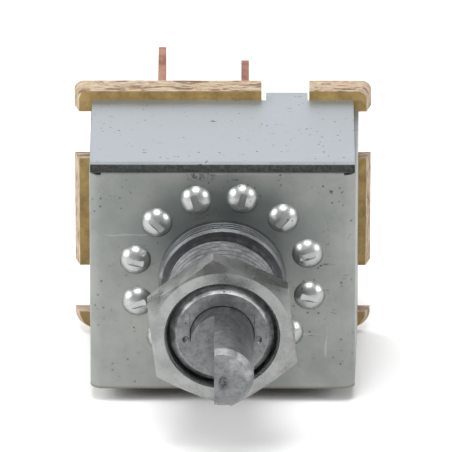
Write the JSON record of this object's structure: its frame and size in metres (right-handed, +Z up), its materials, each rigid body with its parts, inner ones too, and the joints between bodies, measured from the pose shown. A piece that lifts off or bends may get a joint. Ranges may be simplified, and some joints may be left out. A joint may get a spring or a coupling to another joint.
{
  "type": "rotary switch",
  "caption": "Panel-mount rotary fan switch: folded steel housing with a ring of detent bumps, threaded bushing with hex nut, D-cut shaft, and blade terminals on a laminate board.",
  "frame": {"origin": "on the shaft's axis at the collar's front face, where the panel rests", "axes": "+Z up, -Y the way the knob end of the shaft points, +X to the right seen from the knob's side"},
  "size_m": [0.0306, 0.0538, 0.0282],
  "materials": {
    "plated_steel": "zinc plate, satin, lightly scratched",
    "die_cast_zinc": "as-cast zinc alloy, mottled grey",
    "bright_nut": "bright plated steel",
    "spring_wire": "drawn wire",
    "black_phenolic": "moulded phenolic, matte",
    "laminate": "paper laminate board with fibrous punched edges",
    "copper": "bare copper, dull"
  },
  "bodies": {
    "case": {"housing_shell": "plated_steel", "mounting_bushing": "die_cast_zinc", "terminal_board": "laminate", "blade_common": "copper", "blade_low": "copper", "blade_medium": "copper", "blade_high": "copper", "rivet_common": "copper", "rivet_low": "copper", "rivet_medium": "copper", "rivet_high": "copper"},
    "shaft": {"control_shaft": "die_cast_zinc", "thrust_washer": "bright_nut", "detent_rotor": "black_phenolic", "contact_plate": "copper", "detent_spring_1": "spring_wire", "detent_spring_2": "spring_wire", "contact_spring_1": "spring_wire", "contact_spring_2": "spring_wire", "contact_spring_3": "spring_wire"},
    "ball_1": {"detent_ball_1": "bright_nut"},
    "ball_2": {"detent_ball_2": "bright_nut"},
    "nut": {"mounting_nut": "bright_nut"}
  },
  "joints": [
    {"name": "shaft_turn", "type": "hinge", "parent": "case", "child": "shaft", "pos_m": [0, 0, 0], "axis": [0, 1, 0], "range_deg": [0, 90]},
    {"name": "ball_1_press", "type": "slide", "parent": "shaft", "child": "ball_1", "axis": [0, -1, 0], "range_m": [0, 0.0009], "stiffness_N_per_m": 100, "deforming": ["detent_spring_1"]},
    {"name": "ball_2_press", "type": "slide", "parent": "shaft", "child": "ball_2", "axis": [0, -1, 0], "range_m": [0, 0.0009], "stiffness_N_per_m": 100, "deforming": ["detent_spring_2"]},
    {"name": "nut_travel", "type": "slide", "parent": "case", "child": "nut", "axis": [0, 1, 0], "range_m": [-0.013, 0.0065]}
  ]
}
